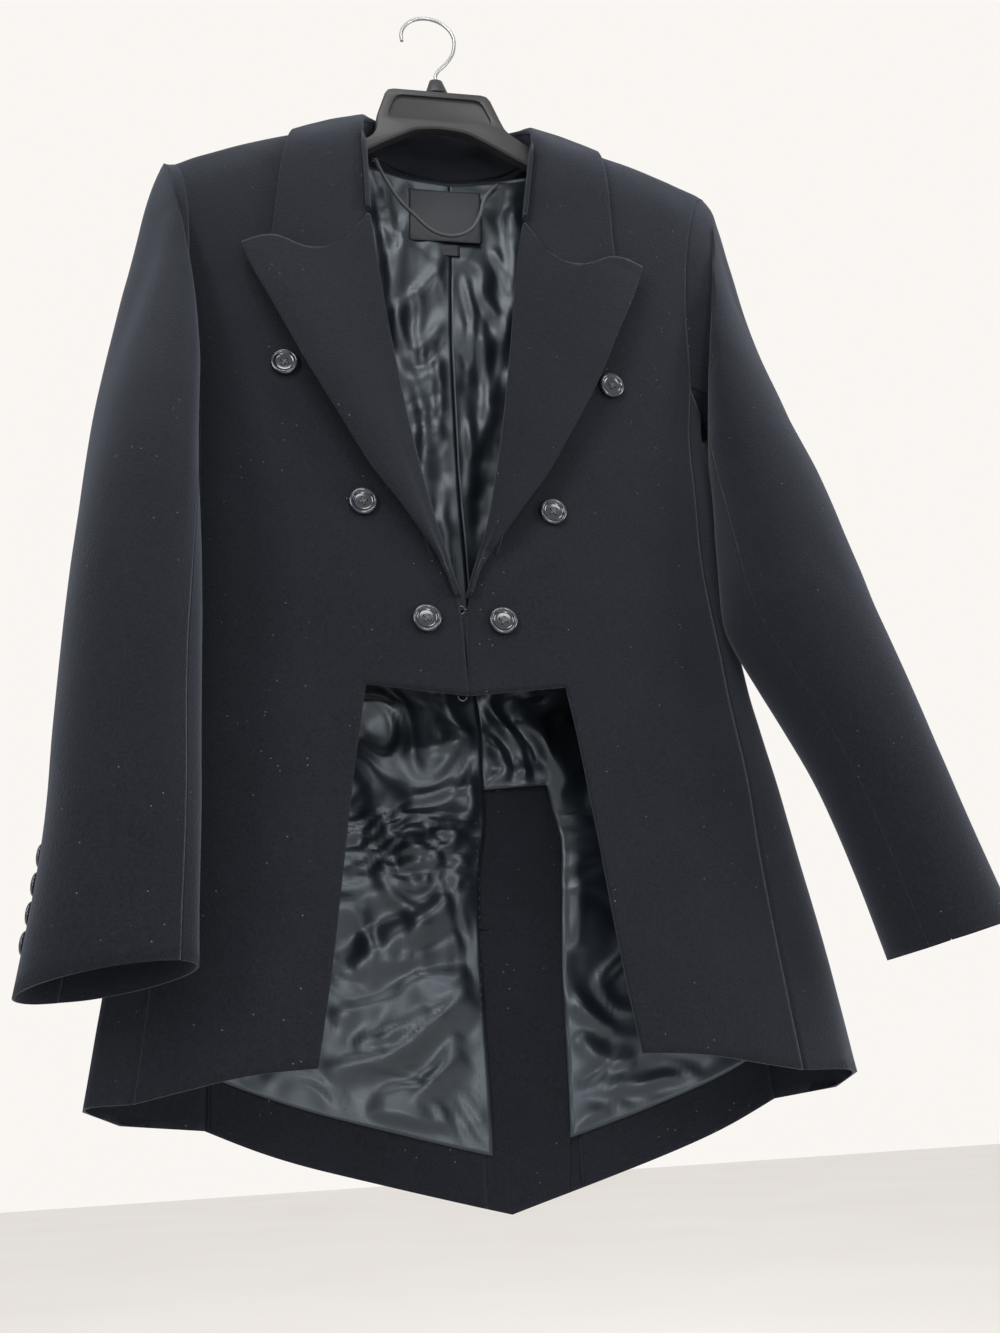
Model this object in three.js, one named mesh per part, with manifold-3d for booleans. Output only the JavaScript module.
// Tailcoat blazer hanging on a plastic hanger. Millimetres, +Z up, +Y to the back.
//
// The jacket is a shell of cut panels. Each panel is a grid of points on the garment's surface, trimmed
// back a little at its seams and given a wall. The hanger holds the shoulders from inside, and its wire
// hook gives the origin: the highest point inside the bend, where the hook rests on what carries it.
import * as THREE from 'three';
import { mergeVertices } from 'three/addons/utils/BufferGeometryUtils.js';
import Module from 'manifold-3d';

const kit = await Module();
kit.setup();

// ---------------------------------------------------------------- driving sizes
const CLOTH = 1.7;              // body and sleeve wall, wool with its canvas and allowances
const LAYER = 1.2;              // single turned layers: facings, hem, label
const LINING = 1.0;             // satin lining with its slack
const SEAM = 0.23;              // trimmed from each panel at a seam, so two panels part by 0.4
const LIFT = 0.4;               // clearance between a layer and what it lies on

const RIDGE_CENTRE = -120.5;    // shoulder ridge extended to the centre line
const RIDGE_SLOPE = 0.19;       // fall of the shoulder for each mm outwards, near the neck
const RIDGE_DROOP = 0.00038;    // and how that fall grows
const RIDGE_FRONT = 85;         // height over which the front rounds into the shoulder
const RIDGE_BACK = 60;          // the same at the back
const NECK_HALF = 76;           // neck point of the shoulder seam
const NECK_BACK_Z = -148;       // back neck seam on the centre line
const SHOULDER_Z = -181.4;       // top of the armhole
const JOIN_Z = -382;            // armhole ends of the side panel seams
const UNDERARM_Z = -402;        // lowest point of the armhole
const BREAK_Z = -569;           // where the lapels start to roll
const WAIST_CENTRE_Z = -641;    // waist hem at the centre front
const WAIST_CORNER_Z = -633;    // waist hem at the corner of the cutaway
const WAIST_CORNER_X = 68;
const HEM_FRONT_Z = -872;       // lower front corner of each tail
const HEM_SIDE_Z = -886;
const HEM_BACK_Z = -964;        // point of the back hem
const FACING_DEPTH = 36;        // self-fabric band inside the back hem
const VENT_OPEN_Z = -778;       // the vent is open below this
const FRONT_BUTTON = { radius: 10, height: 3.4, sides: 18 };
const CUFF_BUTTON = { radius: 7.2, height: 2.8, sides: 12 };

// Half width and depths of the body at each height. Sections are superellipses: power 3 in front,
// and at the back the power given, which rounds the tails more than the shoulders.
const BODY = [
  { z: -195, half: 240, front: 60, back: 34, power: 3 },
  { z: -300, half: 224, front: 61, back: 39, power: 3 },
  { z: -402, half: 201, front: 58, back: 40, power: 3 },
  { z: -470, half: 201, front: 55, back: 38, power: 2.9 },
  { z: -530, half: 202, front: 53, back: 37, power: 2.8 },
  { z: -590, half: 207, front: 53, back: 37, power: 2.7 },
  { z: -640, half: 213, front: 54, back: 38, power: 2.6 },
  { z: -707, half: 225, front: 57, back: 39, power: 2.4 },
  { z: -768, half: 235, front: 61, back: 41, power: 2.2 },
  { z: -829, half: 243, front: 65, back: 43, power: 2 },
  { z: -886, half: 250, front: 69, back: 45, power: 1.9 },
  { z: -964, half: 253, front: 70, back: 46, power: 1.9 },
];
const FRONT_POWER = 3;

// Seams between front, side panel and back, as shares of the half width.
const SEAMS = [
  { z: -382, front: 0.92, back: 0.89 },
  { z: -402, front: 0.92, back: 0.88 },
  { z: -511, front: 0.895, back: 0.82 },
  { z: -609, front: 0.89, back: 0.81 },
  { z: -683, front: 0.87, back: 0.80 },
  { z: -765, front: 0.83, back: 0.78 },
  { z: -886, front: 0.815, back: 0.76 },
];

// Folded edge of the neck opening, from the break up to the collar.
const ROLL = [
  { z: -569, x: 1.6 },
  { z: -550, x: 7.5 },
  { z: -520, x: 17 },
  { z: -466, x: 29 },
  { z: -393, x: 41 },
  { z: -349, x: 47 },
  { z: -277, x: 56 },
  { z: -262, x: 58.5 },
  { z: -207, x: 64 },
  { z: -160, x: 70 },
  { z: -143, x: 76 },
];

// Free edge of the lapel, from the break to the peak.
const LAPEL_EDGE = [
  { z: -569, x: 6 },
  { z: -552, x: 12 },
  { z: -532, x: 25 },
  { z: -498, x: 49 },
  { z: -473, x: 67 },
  { z: -449, x: 80 },
  { z: -404, x: 105 },
  { z: -366, x: 122 },
  { z: -337, x: 136 },
  { z: -307, x: 148.5 },
  { z: -297, x: 151.5 },
];

// The fronts' edges below the break: they meet at the hook, part a little, and meet at the waist hem.
const SLIT = [
  { z: -569, x: 1.6 },
  { z: -588, x: 1.9 },
  { z: -610, x: 1.3 },
  { z: -633, x: 0.3 },
  { z: -641, x: 0.2 },
];

// Gorge seam, where collar and lapel meet, and the upper edge of the peak.
const GORGE = [
  { x: 58.5, z: -262 },
  { x: 74, z: -284 },
  { x: 91, z: -299.5 },
  { x: 109, z: -299 },
  { x: 130, z: -291.5 },
  { x: 151.5, z: -297 },
];

// Front edge of each tail below the waist.
const TAIL_EDGE = [
  { z: -633, x: 68 },
  { z: -689, x: 76 },
  { z: -758, x: 84 },
  { z: -832, x: 92.5 },
  { z: -872, x: 98 },
];

// Lower edges, by distance from the centre line.
const HEM_FRONT = [
  { x: 98, z: -872 },
  { x: 124, z: -873 },
  { x: 150, z: -876 },
  { x: 182, z: -882 },
  { x: 205, z: -885 },
  { x: 247, z: -886 },
];
const HEM_BACK = [
  { x: 0, z: -964 },
  { x: 68, z: -945 },
  { x: 135, z: -925 },
  { x: 178, z: -908 },
  { x: 203, z: -896 },
  { x: 247, z: -885 },
];

// Collar, from the centre back to the gorge: the fold it turns on and its outer edge on the body.
// fall is measured down from the shoulder ridge, on the back or the front.
const COLLAR = [
  { rollX: 0, rollY: 24, rollZ: -99, edgeX: 0, fall: 40, face: 'back' },
  { rollX: 26, rollY: 22, rollZ: -100, edgeX: 34, fall: 34, face: 'back' },
  { rollX: 48, rollY: 13, rollZ: -106, edgeX: 68, fall: 25, face: 'back' },
  { rollX: 62, rollY: -4, rollZ: -117, edgeX: 98, fall: 9, face: 'back' },
  { rollX: 68, rollY: -24, rollZ: -134, edgeX: 117, fall: 3, face: 'front' },
  { rollX: 68, rollY: -43, rollZ: -156, edgeX: 122, fall: 25, face: 'front' },
  { rollX: 66, rollY: -57, rollZ: -186, edgeX: 125, fall: 60, face: 'front' },
  { rollX: 62.5, rollY: -62.5, rollZ: -222, edgeX: 127.5, fall: 96, face: 'front' },
  { rollX: 59, rollY: -64, rollZ: -259.5, edgeX: 130, fall: 128, face: 'front' },
];

// Sleeves, row by row: outermost and innermost point, middle in depth, half depth, how far the front
// turns in towards the body, and the extra length behind.
const SLEEVES = {
  right: [
    { outX: 243, outZ: -181, inX: 215, inZ: -404, y: -4, deep: 44, turn: 14, behind: 0 },
    { outX: 248, outZ: -203, inX: 216, inZ: -409, y: -6, deep: 49, turn: 22, behind: 0 },
    { outX: 253, outZ: -245, inX: 214, inZ: -418, y: -9, deep: 51, turn: 28, behind: 0 },
    { outX: 257, outZ: -294, inX: 210, inZ: -434, y: -14, deep: 52, turn: 28, behind: 0 },
    { outX: 263.5, outZ: -344, inX: 204, inZ: -456, y: -20, deep: 52, turn: 24, behind: 0 },
    { outX: 273, outZ: -397, inX: 199, inZ: -490, y: -28, deep: 51, turn: 17, behind: 0 },
    { outX: 283, outZ: -454, inX: 194, inZ: -534, y: -38, deep: 50, turn: 9, behind: 0 },
    { outX: 292, outZ: -526, inX: 192, inZ: -583, y: -50, deep: 48, turn: 2, behind: 0 },
    { outX: 302, outZ: -598, inX: 211, inZ: -635, y: -60, deep: 47, turn: 0, behind: 0 },
    { outX: 316, outZ: -672, inX: 236, inZ: -697, y: -69, deep: 46, turn: 0, behind: 0 },
    { outX: 334, outZ: -737, inX: 257, inZ: -757, y: -68, deep: 45, turn: 0, behind: 2 },
    { outX: 355, outZ: -797, inX: 273, inZ: -817, y: -66, deep: 44, turn: 0, behind: 4 },
  ],
  left: [
    { outX: -215.5, outZ: -195, inX: -200, inZ: -405, y: -3, deep: 44, turn: -10, behind: 0 },
    { outX: -220.5, outZ: -218, inX: -203, inZ: -411, y: -8, deep: 49, turn: -20, behind: 0 },
    { outX: -227, outZ: -255, inX: -203, inZ: -418, y: -13, deep: 52, turn: -28, behind: 0 },
    { outX: -232, outZ: -300, inX: -200, inZ: -431, y: -22, deep: 53, turn: -31, behind: 0 },
    { outX: -237, outZ: -345, inX: -195, inZ: -452, y: -35, deep: 53, turn: -30, behind: 0 },
    { outX: -242, outZ: -400, inX: -188, inZ: -484, y: -52, deep: 52, turn: -24, behind: 0 },
    { outX: -247, outZ: -462, inX: -180, inZ: -526, y: -68, deep: 50, turn: -14, behind: 0 },
    { outX: -251, outZ: -530, inX: -175, inZ: -575, y: -78, deep: 48, turn: -5, behind: 0 },
    { outX: -254, outZ: -600, inX: -173, inZ: -632, y: -83, deep: 47, turn: 0, behind: 0 },
    { outX: -256, outZ: -670, inX: -172, inZ: -692, y: -86, deep: 44, turn: 0, behind: 2 },
    { outX: -257, outZ: -742, inX: -171, inZ: -751, y: -88, deep: 40, turn: 0, behind: 4 },
    { outX: -267, outZ: -826, inX: -170, inZ: -811, y: -88, deep: 34, turn: 0, behind: 8 },
  ],
};

// How the jacket hangs: it has turned on the hanger, so its back lies to the right of its front.
const HANG = {
  centre: -3,          // centre front
  pivotY: -62,
  lean: 0.2,           // sideways shift for each mm of depth
  tailLean: 0.13,      // added at the tails
  neckShift: 6,
  tilt: 0.03,          // right shoulder higher and nearer
  turn: 0.03,
};
const JACKET_ON_HANGER = new THREE.Vector3(0, 8, 7.6);

// ---------------------------------------------------------------- small maths
const clamp = (value, low = 0, high = 1) => Math.min(high, Math.max(low, value));
const mix = (a, b, t) => a + (b - a) * t;
const ease = (t) => { const c = clamp(t); return c * c * (3 - 2 * c); };
const steps = (count) => Array.from({ length: count + 1 }, (_, i) => i / count);

// Smooth value of a column of a table whose key column runs one way.
function read(table, key, at, column) {
  const rising = table[table.length - 1][key] > table[0][key];
  const rows = rising ? table : [...table].reverse();
  if (at <= rows[0][key]) return rows[0][column];
  if (at >= rows[rows.length - 1][key]) return rows[rows.length - 1][column];
  const i = rows.findIndex((row, k) => k > 0 && at <= row[key]) - 1;
  const slope = (k) => {
    if (k === 0 || k === rows.length - 1) {
      const a = k === 0 ? 0 : k - 1;
      return (rows[a + 1][column] - rows[a][column]) / (rows[a + 1][key] - rows[a][key]);
    }
    return (rows[k + 1][column] - rows[k - 1][column]) / (rows[k + 1][key] - rows[k - 1][key]);
  };
  const span = rows[i + 1][key] - rows[i][key];
  const t = (at - rows[i][key]) / span;
  const t2 = t * t;
  const t3 = t2 * t;
  return (2 * t3 - 3 * t2 + 1) * rows[i][column] + (t3 - 2 * t2 + t) * span * slope(i)
    + (3 * t2 - 2 * t3) * rows[i + 1][column] + (t3 - t2) * span * slope(i + 1);
}

// ---------------------------------------------------------------- the body's surface
const ridgeZ = (x) => RIDGE_CENTRE - RIDGE_SLOPE * Math.abs(x) - RIDGE_DROOP * x * x;
const powerAt = (z, face) => (face === 'front' ? FRONT_POWER : read(BODY, 'z', z, 'power'));
const squared = (share, power) => (1 - clamp(Math.abs(share)) ** power) ** (1 / power);
function rounding(x, z, height) {
  const t = clamp((ridgeZ(x) - z) / height);
  return Math.sqrt(1 - (1 - t) ** 2);
}
function depthAt(x, z, face) {
  const wide = squared(x / read(BODY, 'z', z, 'half'), powerAt(z, face));
  const deep = read(BODY, 'z', z, face) * wide;
  return face === 'front' ? -deep * rounding(x, z, RIDGE_FRONT) : deep * rounding(x, z, RIDGE_BACK);
}
const onBody = (x, z, face) => new THREE.Vector3(x, depthAt(x, z, face), z);

// Moves a point of the symmetrical jacket to where it hangs.
function hang(point) {
  const { x, y, z } = point;
  const high = ease((z + 450) / 200);
  const low = clamp((-z - 400) / 500);
  const shift = HANG.centre + (y - HANG.pivotY) * (HANG.lean + HANG.tailLean * low)
    + HANG.neckShift * ease((z + 317) / 150);
  return new THREE.Vector3(x + shift, y - HANG.turn * x * high, z + HANG.tilt * x * high);
}

// ---------------------------------------------------------------- walls from grids
const hungGrid = (grid) => grid.map((row) => row.map(hang));
const mirrored = (grid) => (
  grid.map((row) => row.map((p) => new THREE.Vector3(-p.x, p.y, p.z)).reverse()));
const mirroredMask = (mask) => mask.map((row) => [...row].reverse());
const sideGrid = (grid, side) => (side === 'left' ? mirrored(grid) : grid);

function pull(from, towards, distance) {
  const step = towards.clone().sub(from);
  return from.clone().addScaledVector(step.normalize(), distance);
}
// Trims a grid at its named sides, so that two panels don't touch at their seam.
function trimmed(grid, sides, amount = SEAM) {
  const out = grid.map((row) => row.map((p) => p.clone()));
  const lastRow = out.length - 1;
  const lastColumn = out[0].length - 1;
  if (sides.includes('top')) out[0] = grid[0].map((p, j) => pull(p, grid[1][j], amount));
  if (sides.includes('bottom')) {
    out[lastRow] = grid[lastRow].map((p, j) => pull(p, grid[lastRow - 1][j], amount));
  }
  for (const row of out) {
    if (sides.includes('start')) row[0] = pull(row[0], row[1], amount);
    if (sides.includes('end')) row[lastColumn] = pull(row[lastColumn], row[lastColumn - 1], amount);
  }
  return out;
}
// Tangent at a point of a chain, from the curve through it and its neighbours.
function tangent(before, here, after, beyond) {
  const first = here.clone().sub(before);
  const second = after.clone().sub(here);
  const a = first.length();
  const b = second.length();
  first.divideScalar(a);
  second.divideScalar(b);
  if (beyond === 'start') return first.clone().addScaledVector(second.sub(first), -a / (a + b));
  if (beyond === 'end') return second.clone().addScaledVector(second.clone().sub(first), b / (a + b));
  return first.multiplyScalar(b).addScaledVector(second, a);
}
function chainTangent(chain, k, round) {
  const last = chain.length - 1;
  if (round) return tangent(chain[(k + last) % (last + 1)], chain[k], chain[(k + 1) % (last + 1)]);
  if (last === 1) return chain[1].clone().sub(chain[0]);
  if (k === 0) return tangent(chain[0], chain[1], chain[2], 'start');
  if (k === last) return tangent(chain[last - 2], chain[last - 1], chain[last], 'end');
  return tangent(chain[k - 1], chain[k], chain[k + 1]);
}
function normalsOf(grid, round = false) {
  const columns = grid[0].map((_, j) => grid.map((row) => row[j]));
  return grid.map((row, i) => row.map((_, j) => (
    chainTangent(row, j, round).cross(chainTangent(columns[j], i, false)).negate().normalize())));
}
// A closed wall on a grid. Rows run down the piece and columns to the right as seen from outside.
function wall(grid, low, high, { mask = null, normals = normalsOf(grid) } = {}) {
  const rows = grid.length - 1;
  const columns = grid[0].length - 1;
  const wide = grid[0].length;
  const present = (i, j) => {
    if (i < 0 || i >= rows || j < 0 || j >= columns) return false;
    return mask ? mask[i][j] : true;
  };
  const moved = (offset) => grid.flatMap((row, i) => row.map((p, j) => (
    p.clone().addScaledVector(normals[i][j], offset))));
  const places = [...moved(high), ...moved(low)].flatMap((p) => [p.x, p.y, p.z]);
  const outer = (i, j) => i * wide + j;
  const inner = (i, j) => outer(i, j) + grid.length * wide;
  const faces = [];
  const quad = (a, b, c, d) => faces.push(a, b, c, a, c, d);
  for (let i = 0; i < rows; i += 1) {
    for (let j = 0; j < columns; j += 1) {
      if (present(i, j)) {
        quad(outer(i, j), outer(i + 1, j), outer(i + 1, j + 1), outer(i, j + 1));
        quad(inner(i, j), inner(i, j + 1), inner(i + 1, j + 1), inner(i + 1, j));
        const rim = (fromI, fromJ, toI, toJ) => (
          quad(outer(fromI, fromJ), outer(toI, toJ), inner(toI, toJ), inner(fromI, fromJ)));
        if (!present(i - 1, j)) rim(i, j, i, j + 1);
        if (!present(i + 1, j)) rim(i + 1, j + 1, i + 1, j);
        if (!present(i, j - 1)) rim(i + 1, j, i, j);
        if (!present(i, j + 1)) rim(i, j + 1, i + 1, j + 1);
      }
    }
  }
  const used = new Map();
  const kept = [];
  const index = faces.map((k) => {
    if (!used.has(k)) {
      used.set(k, used.size);
      kept.push(places[3 * k], places[3 * k + 1], places[3 * k + 2]);
    }
    return used.get(k);
  });
  const geometry = new THREE.BufferGeometry();
  geometry.setAttribute('position', new THREE.Float32BufferAttribute(kept, 3));
  geometry.setIndex(index);
  geometry.computeVertexNormals();
  return geometry;
}

// ---------------------------------------------------------------- materials
const finish = (color, roughness, metalness = 0) => (
  new THREE.MeshStandardMaterial({ color, roughness, metalness }));
const cloth = () => finish(0x1b1d22, 0.85);
const satin = () => finish(0x1c2126, 0.35);
const buttonPlastic = () => finish(0x14171b, 0.25);
const hangerPlastic = () => finish(0x121214, 0.4);
const wire = () => finish(0x9aa0a5, 0.3, 1);
const cordYarn = () => finish(0x0c0c0e, 0.8);

const jacket = new THREE.Group();
jacket.position.copy(JACKET_ON_HANGER);
function add(parent, name, geometry, material) {
  const mesh = new THREE.Mesh(geometry, material);
  mesh.name = name;
  parent.add(mesh);
  return mesh;
}

// ---------------------------------------------------------------- heights of the panel rows
const ARM_STEPS = 20;                                  // points round an armhole and a sleeve
const JOIN_STEP = 8;                                   // the side panel's seams meet the armhole here
const armDrop = (k) => (1 - Math.cos((2 * Math.PI * k) / ARM_STEPS)) / 2;
const armZ = (k) => mix(SHOULDER_Z, UNDERARM_Z, armDrop(k));
const SIDE_LEVELS = [-418, -455, -495, -532, BREAK_Z, -604];
const HEM_SHARES = [0.2, 0.4, 0.6, 0.8, 1];

// Front edge of the armhole, by height.
const ARM_EDGE = [
  { z: -181.4, x: 222 },
  { z: -188, x: 217.5 },
  { z: -206, x: 208 },
  { z: -233, x: 200 },
  { z: -264, x: 195 },
  { z: -300, x: 192.5 },
  { z: -340, x: 191 },
  { z: -382, x: 190 },
];
const seamX = (z, face) => read(BODY, 'z', z, 'half') * read(SEAMS, 'z', z, face);
function armEdgeX(z, face) {
  const front = read(ARM_EDGE, 'z', z, 'x');
  const toBack = seamX(JOIN_Z, 'back') - seamX(JOIN_Z, 'front');
  const toFront = seamX(JOIN_Z, 'front') - read(ARM_EDGE, 'z', JOIN_Z, 'x');
  const share = ease((SHOULDER_Z - z) / (SHOULDER_Z - JOIN_Z));
  return front + share * (face === 'back' ? toFront + toBack : toFront);
}
const waistZ = (x) => mix(WAIST_CENTRE_Z, WAIST_CORNER_Z, clamp(Math.abs(x) / WAIST_CORNER_X));
function hemZ(x, face) {
  const table = face === 'front' ? HEM_FRONT : HEM_BACK;
  return read(table, 'x', Math.abs(x), 'z');
}

// Normals of a front or back, upright on the shoulder ridge so that both faces meet in one plane there.
function crowned(grid, side, ridge) {
  const normals = normalsOf(grid);
  normals[0] = normals[0].map((normal, j) => {
    const reach = Math.abs(ridge[j].x);
    if (reach < NECK_HALF) return normal;
    const fall = RIDGE_SLOPE + 2 * RIDGE_DROOP * reach;
    return new THREE.Vector3((side === 'left' ? -fall : fall) - HANG.tilt, 0, 1).normalize();
  });
  return normals;
}

// ---------------------------------------------------------------- fronts
const FRONT_INNER_CELLS = 4;
const FRONT_OUTER_CELLS = 6;
const ROLL_RADIUS = 3.2;         // the front ends inside the lapel's fold
const NECK_INSET = 10;           // and a little further out under the collar
function frontColumns(inner, middle, outer) {
  const near = steps(FRONT_INNER_CELLS).map((t) => mix(inner, middle, t));
  const far = steps(FRONT_OUTER_CELLS).slice(1).map((t) => mix(middle, outer, t));
  return [...near, ...far];
}
function frontInnerX(z) {
  if (z < BREAK_Z) return read(SLIT, 'z', z, 'x');
  return read(ROLL, 'z', z, 'x') + mix(ROLL_RADIUS, NECK_INSET, ease((z + 275) / 30));
}
function frontGrid() {
  const rows = [];
  for (let k = 0; k <= JOIN_STEP; k += 1) {
    const edgeZ = armZ(k);
    const share = armDrop(k) / armDrop(JOIN_STEP);
    const rowZ = (x) => mix(ridgeZ(x), JOIN_Z, share);
    const inner = k === 0 ? NECK_HALF : frontInnerX(rowZ(NECK_HALF));
    const outer = armEdgeX(edgeZ, 'front');
    const middle = mix(130, 96, share);
    rows.push(frontColumns(inner, middle, outer).map((x) => {
      const out = clamp((x - middle) / (outer - middle));
      const z = k === 0 ? ridgeZ(x) : mix(rowZ(x), edgeZ, ease(out));
      return onBody(x, z, 'front');
    }));
  }
  for (const z of SIDE_LEVELS) {
    const middle = mix(96, WAIST_CORNER_X, (JOIN_Z - z) / (JOIN_Z - WAIST_CORNER_Z));
    const columns = frontColumns(frontInnerX(z), middle, seamX(z, 'front'));
    rows.push(columns.map((x) => onBody(x, z, 'front')));
  }
  const waist = frontColumns(SEAM, WAIST_CORNER_X, seamX(WAIST_CORNER_Z, 'front'));
  rows.push(waist.map((x) => onBody(x, waistZ(x), 'front')));
  const tail = (share) => frontColumns(
    SEAM, read(TAIL_EDGE, 'z', mix(WAIST_CORNER_Z, HEM_FRONT_Z, share), 'x'),
    seamX(mix(WAIST_CORNER_Z, HEM_SIDE_Z, share), 'front'));
  const hems = tail(1).map((x) => hemZ(x, 'front'));
  hems[hems.length - 1] = HEM_SIDE_Z;
  for (const share of HEM_SHARES) {
    rows.push(tail(share).map((x, j) => onBody(x, mix(WAIST_CORNER_Z, hems[j], share), 'front')));
  }
  return rows;
}
// The cutaway: below the waist hem a front keeps only its outer columns.
const frontMask = (grid) => grid.slice(1).map((_, i) => grid[0].slice(1).map((__, j) => (
  j >= FRONT_INNER_CELLS || i < grid.length - 1 - HEM_SHARES.length)));

// ---------------------------------------------------------------- side panels and backs
const SIDE_CELLS = 4;
// Point on the side of the body, from the front seam (0) round to the back seam (1).
function sidePoint(z, share) {
  const half = read(BODY, 'z', z, 'half');
  const angleAt = (face) => Math.acos(read(SEAMS, 'z', z, face) ** (powerAt(z, face) / 2));
  const angle = mix(angleAt('front'), -angleAt('back'), share);
  const face = angle > 0 ? 'front' : 'back';
  const power = powerAt(z, face);
  const x = half * Math.cos(angle) ** (2 / power);
  const out = read(BODY, 'z', z, face) * Math.sin(Math.abs(angle)) ** (2 / power);
  return new THREE.Vector3(x, face === 'front' ? -out : out, z);
}
function sideGridRows() {
  const rows = [steps(SIDE_CELLS).map((t, j) => sidePoint(armZ(JOIN_STEP + j), t))];
  for (const z of [...SIDE_LEVELS, WAIST_CORNER_Z]) rows.push(steps(SIDE_CELLS).map((t) => sidePoint(z, t)));
  for (const share of HEM_SHARES) {
    rows.push(steps(SIDE_CELLS).map((t) => {
      const hem = mix(HEM_SIDE_Z, hemZ(seamX(HEM_SIDE_Z, 'back'), 'back'), ease(t * 1.6 - 0.6));
      return sidePoint(mix(WAIST_CORNER_Z, hem, share), t);
    }));
  }
  return rows;
}

const BACK_CELLS = 8;
const neckZ = (x) => mix(NECK_BACK_Z, ridgeZ(NECK_HALF), clamp(x / NECK_HALF) ** 2);
function backGrid(inset = 0) {
  const rows = [];
  const spread = (outer) => steps(BACK_CELLS).map((t) => mix(outer, 0, t ** 0.92));
  for (let k = 0; k <= JOIN_STEP; k += 1) {
    const edgeZ = armZ(k);
    const outer = armEdgeX(edgeZ, 'back');
    const share = armDrop(k) / armDrop(JOIN_STEP);
    rows.push(spread(outer).map((x) => {
      const topZ = x < NECK_HALF ? neckZ(x) : ridgeZ(x);
      const out = clamp((x - 110) / (outer - 110));
      const z = mix(mix(topZ, JOIN_Z, share), edgeZ, ease(out));
      return onBody(x, k === 0 ? topZ : z, 'back');
    }));
  }
  for (const z of [...SIDE_LEVELS, WAIST_CORNER_Z]) {
    rows.push(spread(seamX(z, 'back')).map((x) => onBody(x, z, 'back')));
  }
  const hems = spread(seamX(HEM_SIDE_Z, 'back')).map((x) => hemZ(x, 'back') + inset);
  for (const share of HEM_SHARES) {
    const outer = seamX(mix(WAIST_CORNER_Z, hems[0], share), 'back');
    rows.push(spread(outer).map((x, j) => onBody(x, mix(WAIST_CORNER_Z, hems[j], share), 'back')));
  }
  return rows;
}

// ---------------------------------------------------------------- sleeves
function armholeLoop(side) {
  const loop = [];
  for (let k = 0; k < ARM_STEPS; k += 1) {
    let point;
    if (k <= JOIN_STEP) point = onBody(armEdgeX(armZ(k), 'front'), armZ(k), 'front');
    else if (k < ARM_STEPS - JOIN_STEP) point = sidePoint(armZ(k), (k - JOIN_STEP) / SIDE_CELLS);
    else point = onBody(armEdgeX(armZ(k), 'back'), armZ(k), 'back');
    if (side === 'left') point.x *= -1;
    loop.push(hang(point));
  }
  return loop;
}
const BACK_TURN = 0.15;           // the back turns out by this share of the front's turn
const SLEEVE_REST = 6;            // between the body's side and a sleeve that lies along it
// Below the armhole a sleeve that hangs against the body comes to rest beside it.
function besideBody(x, y, z) {
  if (z > UNDERARM_Z) return x;
  const body = (what) => read(BODY, 'z', z, what);
  const deep = clamp(Math.abs(y) / body(y < 0 ? 'front' : 'back'));
  const reach = body('half') * (1 - deep ** body('power')) ** (1 / body('power'));
  const side = Math.sign(x);
  const rest = hang(new THREE.Vector3(side * reach, y, z)).x + side * SLEEVE_REST;
  return side * Math.max(side * x, side * rest);
}
function sleeveRow(row) {
  return Array.from({ length: ARM_STEPS }, (_, k) => {
    const angle = (2 * Math.PI * k) / ARM_STEPS;
    const down = (1 - Math.cos(angle)) / 2;
    const fore = Math.sin(angle);
    const z = mix(row.outZ, row.inZ, down) - row.behind * (1 - fore) / 2;
    const turn = row.turn * (fore > 0 ? 1 : BACK_TURN);
    const x = mix(row.outX, row.inX, down) - turn * fore;
    const y = row.y - row.deep * fore;
    return new THREE.Vector3(besideBody(x, y, z), y, z);
  });
}
const SLEEVE_SEAM = 0.8;          // trimmed from a sleeve, whose seams run across its curve
const TOP_SLEEVE = { from: -3, to: 8 };
const UNDER_SLEEVE = { from: 8, to: 17 };
// One sleeve as a closed tube, with its normals, so that its two pieces part evenly at their seams.
function sleeveTube(side) {
  const loops = [armholeLoop(side), ...SLEEVES[side].map(sleeveRow)];
  const grid = side === 'left' ? loops : loops.map((loop) => [...loop].reverse());
  return { side, grid, normals: normalsOf(grid, true) };
}
function sleevePiece({ side, grid, normals }, span) {
  const order = [];
  for (let k = span.from; k <= span.to; k += 1) order.push((k + ARM_STEPS) % ARM_STEPS);
  const columns = side === 'left' ? order : order.reverse().map((k) => ARM_STEPS - 1 - k);
  const pick = (rows) => rows.map((row) => columns.map((k) => row[k]));
  const cut = trimmed(pick(grid), ['top', 'start', 'end'], SLEEVE_SEAM);
  return wall(cut, -CLOTH, 0, { normals: pick(normals) });
}

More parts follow.
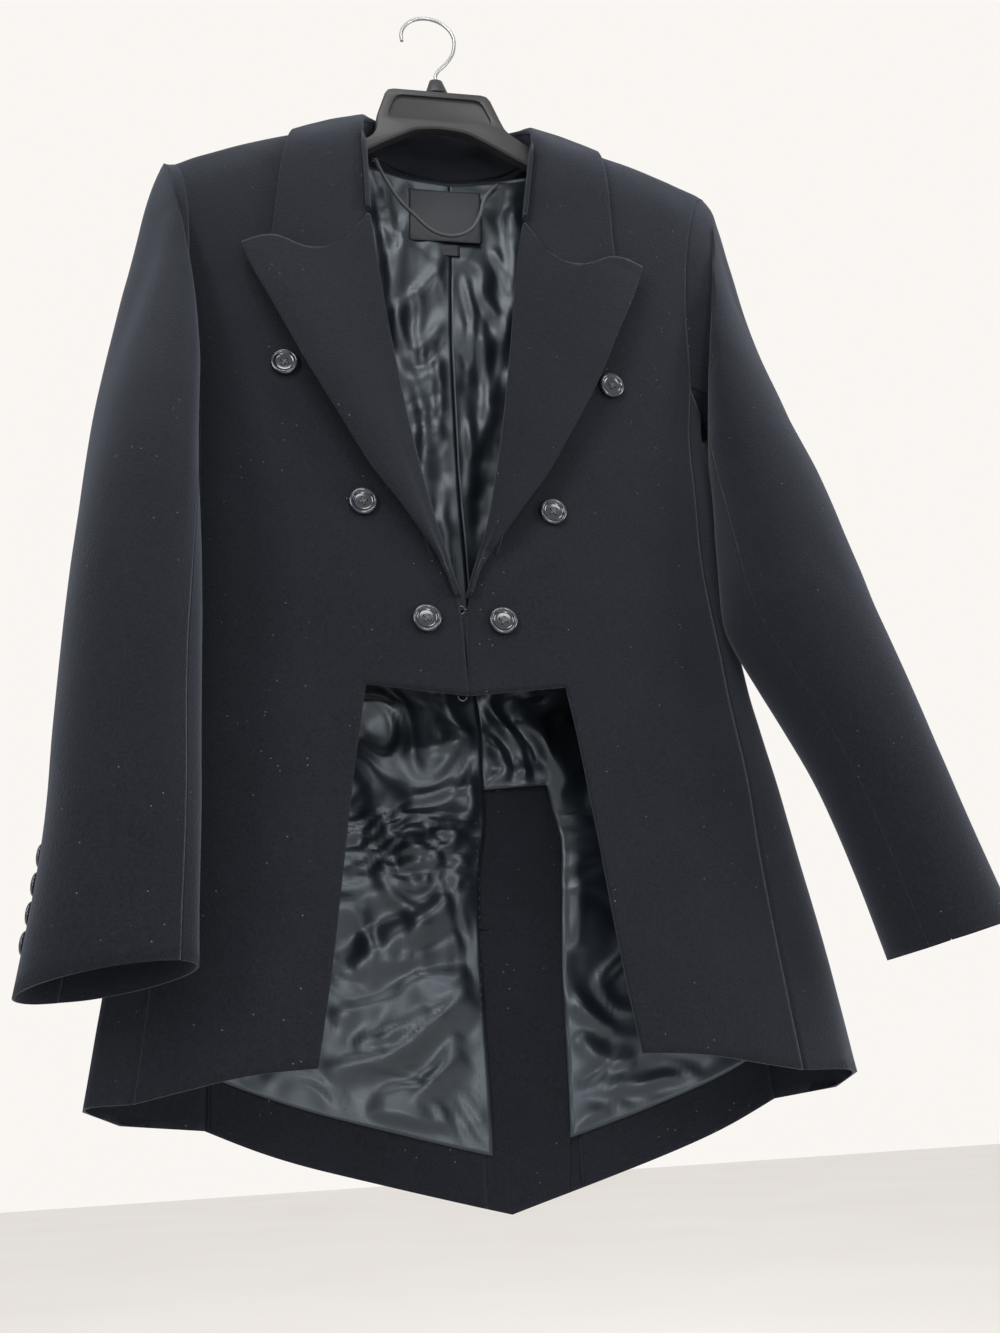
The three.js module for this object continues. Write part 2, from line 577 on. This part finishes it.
// ---------------------------------------------------------------- lapels
const LAPEL_ROWS = [-262, -280, -304, -336, -370, -404, -438, -468, -495, -520, -540, -556, BREAK_Z];
const LAPEL_CELLS = 7;
const LAPEL_STAND = 4.2;          // how far the lapel stands off the front
const TURN = [70, 35, 0, -35, -70].map((degrees) => THREE.MathUtils.degToRad(degrees));
function lapelGrid() {
  const topZ = LAPEL_ROWS[0];
  const peak = LAPEL_EDGE[LAPEL_EDGE.length - 1];
  const startX = read(ROLL, 'z', topZ, 'x');
  const dipAt = (x) => mix(topZ, peak.z, (x - startX) / (peak.x - startX)) - read(GORGE, 'x', x, 'z');
  return LAPEL_ROWS.map((z) => {
    const share = (z - BREAK_Z) / (topZ - BREAK_Z);
    const endZ = mix(BREAK_Z, peak.z, share);
    const endX = read(LAPEL_EDGE, 'z', endZ, 'x');
    const rollX = read(ROLL, 'z', z, 'x');
    const centreX = rollX + ROLL_RADIUS;
    const centreY = depthAt(rollX, z, 'front') + CLOTH / 2;
    const inside = new THREE.Vector3(centreX + 9, centreY + ROLL_RADIUS, z);
    const turned = TURN.map((angle) => new THREE.Vector3(
      centreX - ROLL_RADIUS * Math.cos(angle), centreY + ROLL_RADIUS * Math.sin(angle), z));
    const fade = ease((share - 0.7) / 0.3);
    const leaf = steps(LAPEL_CELLS).slice(1).map((u) => {
      const x = mix(centreX, endX, u);
      const rowZ = mix(z, endZ, u) - dipAt(x) * fade;
      const off = ROLL_RADIUS - CLOTH / 2 + LAPEL_STAND * Math.sin(Math.PI * 0.75 * u);
      return new THREE.Vector3(x, depthAt(x, rowZ, 'front') - off, rowZ);
    });
    return [inside, ...turned, ...leaf];
  });
}

// ---------------------------------------------------------------- collar
const COLLAR_STATIONS = 13;
const COLLAR_CELLS = 5;
const COLLAR_BEND = 3.2;
const COLLAR_STAND_OFF = 4.4;
const GORGE_GAP = 1.8;
const UP = new THREE.Vector3(0, 0, 1);
function collarStation(t) {
  const rows = COLLAR.map((row, i) => ({
    ...row, t: i / (COLLAR.length - 1), signed: row.face === 'back' ? -row.fall : row.fall }));
  const value = (column) => read(rows, 't', t, column);
  const roll = new THREE.Vector3(value('rollX'), value('rollY'), value('rollZ'));
  const face = value('signed') < 0 ? 'back' : 'front';
  const edge = onBody(value('edgeX'), ridgeZ(value('edgeX')) - Math.abs(value('signed')), face);
  const out = edge.clone().sub(roll).setZ(0).normalize();
  edge.addScaledVector(out, LIFT + LAYER).addScaledVector(UP, LIFT + LAYER);
  const fall = edge.clone().sub(roll).normalize();
  const over = (t > 0.7 ? out.clone().cross(UP).negate() : UP.clone());
  over.addScaledVector(fall, -over.dot(fall)).normalize();
  return { roll, edge, fall, over };
}
// Pushes a point out until it is clear of the body's surface.
function clearOfBody(point, margin) {
  const face = point.y < 0 ? 'front' : 'back';
  const height = face === 'front' ? RIDGE_FRONT : RIDGE_BACK;
  const centreZ = ridgeZ(point.x) - height;
  const deep = Math.abs(depthAt(point.x, Math.min(point.z, centreZ), face)) + margin;
  const up = Math.max(0, point.z - centreZ) / (height + margin);
  const reach = Math.hypot(point.y / deep, up);
  if (reach >= 1) return point;
  const out = point.clone();
  out.y /= reach;
  out.z = up > 0 ? centreZ + (point.z - centreZ) / reach : point.z;
  return out;
}
function collarRow(t) {
  const { roll, edge, fall, over } = collarStation(t);
  const centre = roll.clone().addScaledVector(fall, COLLAR_BEND);
  const turned = TURN.map((angle) => centre.clone()
    .addScaledVector(fall, -COLLAR_BEND * Math.cos(angle))
    .addScaledVector(over, -COLLAR_BEND * Math.sin(angle)));
  const start = turned[turned.length - 1];
  const leaf = steps(COLLAR_CELLS).slice(1).map((u) => start.clone().lerp(edge, u)
    .addScaledVector(over, 3 * Math.sin(Math.PI * u)));
  const fade = ease((t - 0.8) / 0.2);
  for (const point of fade > 0 ? leaf : []) {
    const straight = mix(roll.z, edge.z, (point.x - roll.x) / (edge.x - roll.x));
    point.z += fade * (read(GORGE, 'x', point.x, 'z') + GORGE_GAP - straight);
  }
  return [...turned, ...leaf.map((point) => clearOfBody(point, COLLAR_STAND_OFF))];
}
// Both halves of a piece that runs round the neck, from the wearer's one side to the other.
function roundNeck(half) {
  const other = half.slice(1).map((row) => row.map((p) => new THREE.Vector3(-p.x, p.y, p.z)));
  const around = [...[...half].reverse(), ...other];
  return around[0].map((_, i) => around.map((row) => row[i]));
}
const collarGrid = () => roundNeck(steps(COLLAR_STATIONS).map(collarRow));

const STAND_STATIONS = 9;
const STAND_END = 0.56;           // share of the collar's length that the stand follows
const STAND_CORNER = 0.45;        // the neck point of the shoulder
const STAND_LOW_Z = -163;         // where the stand runs out on the front
const STAND_CELLS = 2;
function standGrid() {
  const inner = COLLAR_BEND - LAYER / 2;
  const below = 0.6 - inner * Math.cos(TURN[0]);
  return roundNeck(steps(STAND_STATIONS).map((s) => {
    const t = s * STAND_END;
    const { roll, fall, over } = collarStation(t);
    const top = roll.clone().addScaledVector(fall, COLLAR_BEND + below).addScaledVector(over, -inner);
    const behind = t <= STAND_CORNER;
    const x = NECK_HALF * Math.sin((Math.PI / 2) * clamp(t / STAND_CORNER));
    const low = mix(ridgeZ(NECK_HALF), STAND_LOW_Z, clamp((t - STAND_CORNER) / (STAND_END - STAND_CORNER)));
    const edgeX = mix(NECK_HALF, frontInnerX(low), clamp((ridgeZ(NECK_HALF) - low) / 7));
    const foot = behind ? onBody(x, neckZ(x), 'back') : onBody(edgeX, low, 'front');
    foot.z += LAYER + LIFT;
    foot.x -= (LAYER + 2 * LIFT) * (x / NECK_HALF);
    return steps(STAND_CELLS).map((u) => top.clone().lerp(foot, u));
  }));
}

// ---------------------------------------------------------------- layers inside the back
// Facings lie on the back's inside. The lining laps over their edges and the labels lie on the lining.
const FACING_UNDER = CLOTH + LIFT;
const LINING_UNDER = FACING_UNDER + LAYER + LIFT;
const LABEL_UNDER = LINING_UNDER + LINING;
const layer = (grid, under, thick) => wall(hungGrid(grid), -under - thick, -under);

// Facing of the vent, by height: its left and right edge. The opening of the vent splits off a strip.
const VENT_FACING = [
  { z: -675, left: 8, right: 50 },
  { z: -681, left: 1, right: 57 },
  { z: -692, left: -6, right: 58 },
  { z: -712, left: -11, right: 56 },
  { z: -778, left: -14, right: 49 },
  { z: -964, left: -16, right: 39 },
];
const VENT_CELLS = 3;
const VENT_LEVELS = [-675, -681, -692, -712, -745, VENT_OPEN_Z, -781, -840, -900];
const VENT_SPLIT = -1.5;          // line of the vent, beside the centre back
const HEM_CLEAR = 0.6;            // facings end this far above the hem
const rowAcross = (cells, z, from, to) => steps(cells).map((t) => {
  const x = mix(to, from, t);
  return onBody(x, Math.max(z, hemZ(x, 'back') + HEM_CLEAR), 'back');
});
function ventFacingGrid() {
  return [...VENT_LEVELS, HEM_BACK_Z].map((z) => {
    const left = z < VENT_OPEN_Z ? VENT_SPLIT : read(VENT_FACING, 'z', z, 'left');
    return rowAcross(VENT_CELLS, z, left, read(VENT_FACING, 'z', z, 'right'));
  });
}
function ventStripGrid() {
  const levels = [VENT_LEVELS[6] - 2 * LIFT, ...VENT_LEVELS.slice(-2), HEM_BACK_Z];
  return levels.map((z) => rowAcross(1, z, read(VENT_FACING, 'z', z, 'left'), VENT_SPLIT - LIFT));
}
const HEM_FACING_CELLS = 6;
function hemFacingGrid(side) {
  const inner = side === 'left' ? -VENT_FACING[5].left + 2 * LIFT : VENT_FACING[4].right + LIFT;
  const outer = seamX(HEM_SIDE_Z, 'back') - 1;
  const across = steps(HEM_FACING_CELLS).map((t) => mix(outer, inner, t));
  const rise = [FACING_DEPTH, FACING_DEPTH / 2, HEM_CLEAR];
  return sideGrid(rise.map((up) => across.map((x) => onBody(x, hemZ(x, 'back') + up, 'back'))), side);
}

const LINING_REACH = 0.93;        // share of the half width that the back lining covers
const LINING_LAP = 3;             // it laps over the facings by this
const LINING_TOP_DROP = 3;        // it starts this far below the neck seam
const LINING_RIDGE_DROP = 14;     // and this far below the ridge of the shoulders
const LINING_BAG_Z = -600;        // its bag of folds starts here
const LINING_UPPER_ROWS = 9;
const LINING_LOWER_ROWS = 16;
const LINING_CELLS = { outer: 6, inner: 3 };
const LINING_VENT_ROW = 4;        // lower row at the top of the vent's facing
// Folds of the lining, each a ridge from one point to another, standing out to the front.
const LINING_FOLDS = [
  { fromX: -95, fromZ: -622, toX: 66, toZ: -650, height: 9, width: 15 },
  { fromX: -60, fromZ: -662, toX: 40, toZ: -676, height: 7, width: 12 },
  { fromX: -84, fromZ: -686, toX: -30, toZ: -727, height: 8, width: 12 },
  { fromX: -112, fromZ: -773, toX: -24, toZ: -712, height: 8, width: 13 },
  { fromX: -106, fromZ: -819, toX: -26, toZ: -749, height: 7, width: 12 },
  { fromX: -112, fromZ: -861, toX: -28, toZ: -822, height: 5, width: 12 },
  { fromX: 74, fromZ: -668, toX: 66, toZ: -800, height: 5, width: 11 },
  { fromX: -7, fromZ: -262, toX: -5, toZ: -580, height: 4, width: 9 },
];
function billow(x, z) {
  let most = 0;
  for (const { fromX, fromZ, toX, toZ, height, width } of LINING_FOLDS) {
    const along = new THREE.Vector2(toX - fromX, toZ - fromZ);
    const from = new THREE.Vector2(x - fromX, z - fromZ);
    const share = clamp(from.dot(along) / along.lengthSq());
    const away = from.addScaledVector(along, -share).length() / width;
    most = Math.max(most, height * Math.exp(-away * away));
  }
  return most;
}
// Inner edge of the left lining, and the column of the right one that follows the facing's far edge.
const liningInner = (z) => Math.max(LIFT, -read(VENT_FACING, 'z', z, 'left') - LINING_LAP);
const liningBend = (z) => read(VENT_FACING, 'z', z, 'right') - LINING_LAP;
function liningOuter(z) {
  const reach = read(BODY, 'z', z, 'half') * LINING_REACH;
  return z > JOIN_Z ? Math.min(reach, armEdgeX(z, 'back') - LINING_TOP_DROP) : reach;
}
function liningGrid(side) {
  const sign = side === 'left' ? -1 : 1;
  const across = (level) => {
    const outer = liningOuter(level);
    if (side === 'left') {
      return steps(LINING_CELLS.outer + LINING_CELLS.inner).map((t) => mix(outer, liningInner(level), t));
    }
    const bend = liningBend(level);
    const far = steps(LINING_CELLS.outer).map((t) => mix(outer, bend, t));
    return [...far, ...steps(LINING_CELLS.inner).slice(1).map((t) => mix(bend, LIFT, t))];
  };
  const levelAt = (topShare, lowShare) => (
    mix(mix(SHOULDER_Z, LINING_BAG_Z, topShare), HEM_SIDE_Z + FACING_DEPTH, lowShare));
  const row = (topShare, lowShare) => across(levelAt(topShare, lowShare)).map((x) => {
    const drop = mix(LINING_TOP_DROP, LINING_RIDGE_DROP, clamp((x - NECK_HALF / 2) / NECK_HALF));
    const topZ = (x < NECK_HALF ? neckZ(x) : ridgeZ(x)) - drop;
    const lowZ = hemZ(x, 'back') + FACING_DEPTH - LINING_LAP;
    return { x: sign * x, z: mix(mix(topZ, LINING_BAG_Z, topShare), lowZ, lowShare) };
  });
  const rows = [
    ...steps(LINING_UPPER_ROWS).map((t) => row(t ** 1.3, 0)),
    ...steps(LINING_LOWER_ROWS).slice(1).map((t) => row(1, t)),
  ];
  const points = rows.map((places) => places.map(({ x, z }) => onBody(x, z, 'back')));
  const flat = side === 'left' ? points.map((places) => places.reverse()) : points;
  const hung = hungGrid(flat);
  const normals = normalsOf(hung);
  return hung.map((places, i) => places.map((p, j) => {
    const face = p.clone().addScaledVector(normals[i][j], -LINING_UNDER);
    face.y -= billow(flat[i][j].x, flat[i][j].z);
    return face;
  }));
}

// The right lining has no cells over the vent's facing.
const liningMask = (grid) => grid.slice(1).map((_, i) => grid[0].slice(1).map((__, j) => (
  i < LINING_UPPER_ROWS + LINING_VENT_ROW || j < LINING_CELLS.outer)));

const NECK_LABEL = { x: -5, top: -159, wide: 62, high: 50, cells: 3, clear: 1.7 };
const SIZE_LABEL = { x: -3, top: -212, wide: 20, high: 10, cells: 1, clear: 0.7 };
function labelGrid({ x, top, wide, high, cells }) {
  return steps(cells).map((down) => steps(cells).map((t) => (
    onBody(mix(x + wide / 2, x - wide / 2, t), top - high * down, 'back'))));
}

// ---------------------------------------------------------------- buttons
const HOLE = { reach: 0.23, radius: 0.1, sides: 5 };
function bare(geometry) {
  const kept = new THREE.BufferGeometry();
  kept.setAttribute('position', geometry.getAttribute('position'));
  kept.setIndex(geometry.getIndex());
  return mergeVertices(kept, 1e-4);
}
function toSolid(geometry) {
  const merged = bare(geometry);
  const triangles = [];
  const index = merged.getIndex().array;
  for (let i = 0; i < index.length; i += 3) {
    const [a, b, c] = [index[i], index[i + 1], index[i + 2]];
    if (a !== b && b !== c && c !== a) triangles.push(a, b, c);
  }
  return new kit.Manifold(new kit.Mesh({
    numProp: 3,
    vertProperties: new Float32Array(merged.getAttribute('position').array),
    triVerts: new Uint32Array(triangles),
  }));
}
function fromSolid(solid) {
  const mesh = solid.getMesh();
  const geometry = new THREE.BufferGeometry();
  geometry.setAttribute('position', new THREE.BufferAttribute(new Float32Array(mesh.vertProperties), 3));
  geometry.setIndex(new THREE.BufferAttribute(new Uint32Array(mesh.triVerts), 1));
  const faceted = geometry.toNonIndexed();
  faceted.computeVertexNormals();
  return faceted;
}
// A dished button with a raised rim and four holes, its flat back at the origin and its face to +Z.
function buttonGeometry({ radius, height, sides }) {
  const profile = [
    [0, 0], [0.88, 0], [1, 0.4], [0.98, 0.8], [0.86, 1], [0.64, 0.6], [0, 0.5],
  ].map(([out, up]) => new THREE.Vector2(out * radius, up * height));
  const disc = new THREE.LatheGeometry(profile, sides).rotateX(Math.PI / 2);
  let solid = toSolid(disc);
  for (let k = 0; k < 4; k += 1) {
    const angle = (Math.PI / 2) * k + Math.PI / 4;
    const bore = HOLE.radius * radius;
    const drill = new THREE.CylinderGeometry(bore, bore, 3 * height, HOLE.sides);
    drill.rotateX(Math.PI / 2);
    drill.translate(HOLE.reach * radius * Math.cos(angle), HOLE.reach * radius * Math.sin(angle), 0);
    solid = solid.subtract(toSolid(drill));
  }
  return fromSolid(solid);
}
function seat(mesh, point, normal, lift) {
  mesh.position.copy(point).addScaledVector(normal, lift);
  mesh.quaternion.setFromUnitVectors(UP, normal);
}
function surfaceNormal(pointAt, u, v, step) {
  const across = pointAt(u + step, v).sub(pointAt(u - step, v));
  const up = pointAt(u, v + step).sub(pointAt(u, v - step));
  return across.cross(up).normalize();
}
const FRONT_BUTTONS = [
  { x: 120.5, z: -395 },
  { x: 67.5, z: -502 },
  { x: 26.5, z: -587 },
];
const CUFF_BUTTONS = { count: 4, first: -748, pitch: -16, k: -0.8, rightLower: -6 };
const BUTTON_LIFT = 0.5;
const onFront = (x, z) => hang(onBody(x, z, 'front'));
// Point on a sleeve's facets: height, and place round the sleeve counted in its columns.
function onSleeve(side, z, k) {
  const rows = SLEEVES[side];
  const i = rows.findIndex((row) => row.outZ < z) - 1;
  const t = (rows[i].outZ - z) / (rows[i].outZ - rows[i + 1].outZ);
  const base = Math.floor(k);
  const pointAt = (row, column) => sleeveRow(row)[(column + ARM_STEPS) % ARM_STEPS];
  const upper = pointAt(rows[i], base).lerp(pointAt(rows[i], base + 1), k - base);
  const lower = pointAt(rows[i + 1], base).lerp(pointAt(rows[i + 1], base + 1), k - base);
  return upper.lerp(lower, t);
}

// ---------------------------------------------------------------- hooks, eyes and the hanging loop
const RING = { radius: 3, wire: 0.6, around: 12, section: 5 };
const ringGeometry = () => new THREE.TorusGeometry(RING.radius, RING.wire, RING.section, RING.around);
const HOOK_Z = -578;
const LINK_OFFSET = 1.9;          // the two rings of the fastening are linked this far off centre
const WAIST_EYE = { x: -4, z: -641 };
const CORD_RADIUS = 1.5;
const CORD_SIDES = 8;
const CORD_STEPS = 22;
// Route of the hanging loop behind the hanger, in the hanger's frame, from one neck seam to the other.
const LOOP_ROUTE = [
  [-45, 17.5, -141], [-39, 18, -155], [-26, 20, -177], [-14, 20, -191], [2, 20, -206], [19, 20, -209],
  [34, 20, -201], [43, 21, -184], [47, 23, -168], [53, 25, -156], [61, 26, -146],
];
const tubeAlong = (curve, radius, sides, count) => new THREE.ExtrudeGeometry(
  new THREE.Shape().absellipse(0, 0, radius, radius, 0, 2 * Math.PI, false, 0),
  { steps: count, curveSegments: Math.ceil(sides / 2), bevelEnabled: false, extrudePath: curve });

// ---------------------------------------------------------------- the hanger
const HANGER = { thick: 10, bevel: 1.5, plateX: 4, armsX: 9.5, reach: 196, corner: 6 };
const ARM_CLEAR = 5;              // arm's upper edge below the ridge of the shoulders, on the centre line
const ARM_FALL = 0.035;          // and further for each mm outwards, where the front rounds more
const PLATE = { top: -82, topHalf: 43, low: -112, lowHalf: 53, rim: 7, pocket: 2.5 };
const ARM_START = { left: -66, right: 84 };
// Lower edge of the hanger, by distance from the plate's centre.
const HANGER_LOWER = [
  { x: 0, z: -121 },
  { x: 22, z: -123.5 },
  { x: 36, z: -131 },
  { x: 55, z: -144 },
  { x: 68, z: -151 },
  { x: 84, z: -160 },
  { x: 202, z: -208 },
];
function armTopZ(x) {
  const out = x - HANGER.armsX;
  return ridgeZ(out) + JACKET_ON_HANGER.z - ARM_CLEAR - ARM_FALL * Math.abs(out);
}
const lowerZ = (x) => read(HANGER_LOWER, 'x', Math.abs(x - HANGER.plateX), 'z');
function roundedShape(corners, radius) {
  const shape = new THREE.Shape();
  corners.forEach((corner, i) => {
    const before = corners[(i + corners.length - 1) % corners.length];
    const after = corners[(i + 1) % corners.length];
    const near = (other) => corner.clone().lerp(other, Math.min(0.45, radius / corner.distanceTo(other)));
    const start = near(before);
    const end = near(after);
    if (i === 0) shape.moveTo(start.x, start.y);
    else shape.lineTo(start.x, start.y);
    shape.quadraticCurveTo(corner.x, corner.y, end.x, end.y);
  });
  shape.closePath();
  return shape;
}
function hangerCorners() {
  const { plateX, armsX, reach } = HANGER;
  const top = [
    [plateX + PLATE.topHalf, PLATE.top], [plateX + PLATE.lowHalf, PLATE.low], [60, -119], [75, -131],
    [ARM_START.right, armTopZ(ARM_START.right)], [armsX + reach, armTopZ(armsX + reach)],
  ];
  const bottom = [armsX + reach - 1, 86, 68, 47, 25, 4, -17, -39, -60, -78, armsX - reach + 1]
    .map((x) => [x, lowerZ(x)]);
  const topLeft = [
    [armsX - reach, armTopZ(armsX - reach)], [ARM_START.left, armTopZ(ARM_START.left)], [-57, -136],
    [-51, -128], [-50, -118], [plateX - PLATE.lowHalf, PLATE.low], [plateX - PLATE.topHalf, PLATE.top],
  ];
  return [...top, ...bottom, ...topLeft].map(([x, z]) => new THREE.Vector2(x, z));
}
// A shape drawn in the hanger's plane, made into a plate of this thickness about that plane.
function plateGeometry(shape, thick, bevel) {
  const geometry = new THREE.ExtrudeGeometry(shape, {
    depth: thick - 2 * bevel, curveSegments: 2, bevelEnabled: bevel > 0,
    bevelThickness: bevel, bevelSize: bevel, bevelOffset: -bevel, bevelSegments: 1 });
  geometry.translate(0, 0, bevel - thick / 2);
  return geometry.rotateX(Math.PI / 2);
}
function hangerBody() {
  const { plateX, thick, bevel, corner } = HANGER;
  const inset = [
    [PLATE.topHalf - PLATE.rim, PLATE.top - PLATE.rim], [PLATE.lowHalf - PLATE.rim - 1, PLATE.low - 2],
    [PLATE.rim + 1 - PLATE.lowHalf, PLATE.low - 2], [PLATE.rim - PLATE.topHalf, PLATE.top - PLATE.rim],
  ].map(([x, z]) => new THREE.Vector2(plateX + x, z));
  let solid = toSolid(plateGeometry(roundedShape(hangerCorners(), corner), thick, bevel));
  for (const face of [-1, 1]) {
    const pocket = plateGeometry(roundedShape(inset, corner), 2 * PLATE.pocket, 0);
    pocket.translate(0, face * thick / 2, 0);
    solid = solid.subtract(toSolid(pocket));
  }
  return fromSolid(solid);
}
const HOOK = { bend: 21.5, wire: 1.5, from: 191, to: -5, foot: -67, steps: 28 };
const BOSS = { top: 5.5, foot: 10, flat: 0.5 };
function hookCurve() {
  const radius = HOOK.bend + HOOK.wire;
  const bend = steps(12).map((t) => {
    const angle = THREE.MathUtils.degToRad(mix(HOOK.from, HOOK.to, t));
    return new THREE.Vector3(radius * Math.cos(angle), 0, radius * Math.sin(angle) - HOOK.bend);
  });
  const stem = [[20.5, -36], [13.5, -48], [6.8, -56], [HANGER.plateX, -62], [HANGER.plateX, HOOK.foot]]
    .map(([x, z]) => new THREE.Vector3(x, 0, z));
  return new THREE.CatmullRomCurve3([...bend, ...stem], false, 'centripetal');
}

// ---------------------------------------------------------------- the pieces
for (const side of ['right', 'left']) {
  const right = side === 'right';
  const place = (grid) => hungGrid(sideGrid(grid, side));
  const front = frontGrid();
  const frontHung = trimmed(place(front), ['top', right ? 'end' : 'start']);
  const backHung = trimmed(place(backGrid()), ['top', 'start', 'end']);
  const mask = right ? frontMask(front) : mirroredMask(frontMask(front));
  const sideHung = trimmed(place(sideGridRows()), ['top', 'start', 'end']);
  const frontNormals = crowned(frontHung, side, sideGrid(front, side)[0]);
  const backNormals = crowned(backHung, side, sideGrid(backGrid(), side)[0]);
  const tube = sleeveTube(side);
  const body = {
    [`front_${side}`]: wall(frontHung, -CLOTH, 0, { mask, normals: frontNormals }),
    [`side_panel_${side}`]: wall(sideHung, -CLOTH, 0),
    [`back_${side}`]: wall(backHung, -CLOTH, 0, { normals: backNormals }),
    [`top_sleeve_${side}`]: sleevePiece(tube, TOP_SLEEVE),
    [`under_sleeve_${side}`]: sleevePiece(tube, UNDER_SLEEVE),
    [`lapel_${side}`]: wall(place(lapelGrid()), -LAYER, 0),
    [`hem_facing_${side}`]: layer(hemFacingGrid(side), FACING_UNDER, LAYER),
  };
  for (const [name, geometry] of Object.entries(body)) add(jacket, name, geometry, cloth());
  const lining = liningGrid(side);
  const liningCells = { mask: right ? liningMask(lining) : null };
  add(jacket, `lining_${side}`, wall(lining, -LINING, 0, liningCells), satin());

  FRONT_BUTTONS.forEach(({ x, z }, i) => {
    const name = `front_button_${side}_${i + 1}`;
    const button = add(jacket, name, buttonGeometry(FRONT_BUTTON), buttonPlastic());
    const signed = right ? x : -x;
    seat(button, onFront(signed, z), surfaceNormal(onFront, signed, z, FRONT_BUTTON.radius / 2), BUTTON_LIFT);
  });
  const outward = right ? 1 : -1;
  const onCuff = (k, z) => onSleeve(side, z, k);
  for (let i = 0; i < CUFF_BUTTONS.count; i += 1) {
    const name = `cuff_button_${side}_${i + 1}`;
    const button = add(jacket, name, buttonGeometry(CUFF_BUTTON), buttonPlastic());
    const z = CUFF_BUTTONS.first + CUFF_BUTTONS.pitch * i - (right ? CUFF_BUTTONS.rightLower : 0);
    const along = onCuff(CUFF_BUTTONS.k, z + 4).sub(onCuff(CUFF_BUTTONS.k, z - 4));
    const across = onCuff(CUFF_BUTTONS.k + 0.15, z).sub(onCuff(CUFF_BUTTONS.k - 0.15, z));
    const normal = across.cross(along).normalize();
    if (normal.x * outward < 0) normal.negate();
    seat(button, onCuff(CUFF_BUTTONS.k, z), normal, BUTTON_LIFT);
  }
}
add(jacket, 'collar', wall(hungGrid(collarGrid()), -LAYER, 0), cloth());
add(jacket, 'collar_stand', wall(hungGrid(standGrid()), -LAYER / 2, LAYER / 2), cloth());
add(jacket, 'vent_facing_right', layer(ventFacingGrid(), FACING_UNDER, LAYER), cloth());
add(jacket, 'vent_facing_left', layer(ventStripGrid(), FACING_UNDER, LAYER), cloth());
add(jacket, 'neck_label', layer(labelGrid(NECK_LABEL), LABEL_UNDER + NECK_LABEL.clear, LINING), satin());
add(jacket, 'size_label', layer(labelGrid(SIZE_LABEL), LABEL_UNDER + SIZE_LABEL.clear, LINING), satin());

// The eye lies flat behind the left front's edge and the hook's ring stands across it on the right.
const inside = (x, z, behind) => onFront(x, z).add(new THREE.Vector3(0, CLOTH + LIFT + behind, 0));
const hookReach = RING.radius + RING.wire - LIFT / 2;
const hookRing = add(jacket, 'closure_hook', ringGeometry(), wire());
hookRing.position.copy(inside(LINK_OFFSET, HOOK_Z, hookReach));
const eyeRing = add(jacket, 'closure_eye', ringGeometry().rotateX(Math.PI / 2), wire());
eyeRing.position.copy(inside(-LINK_OFFSET, HOOK_Z, hookReach - RING.radius / 2));
const waistEye = add(jacket, 'waist_eye', ringGeometry().rotateX(Math.PI / 2), wire());
waistEye.position.copy(inside(WAIST_EYE.x, WAIST_EYE.z, RING.wire));

const hanger = new THREE.Group();
hanger.rotation.set(0, -HANG.tilt, -HANG.turn);
add(hanger, 'hanger_body', hangerBody(), hangerPlastic());
const bossHeight = HOOK.foot - PLATE.top - 2 * LIFT;
const boss = add(hanger, 'hanger_boss', new THREE.CylinderGeometry(BOSS.top, BOSS.foot, bossHeight, 16)
  .rotateX(Math.PI / 2).scale(1, BOSS.flat, 1), hangerPlastic());
boss.position.set(HANGER.plateX, 0, PLATE.top + LIFT + bossHeight / 2);
add(hanger, 'hanger_hook', tubeAlong(hookCurve(), HOOK.wire, 8, HOOK.steps), wire());

const loop = new THREE.CatmullRomCurve3(LOOP_ROUTE.map((p) => new THREE.Vector3(...p)), false, 'centripetal');
const blazer = new THREE.Group();
blazer.add(jacket, hanger);
add(blazer, 'hanging_loop', tubeAlong(loop, CORD_RADIUS, CORD_SIDES, CORD_STEPS), cordYarn());
export default blazer;
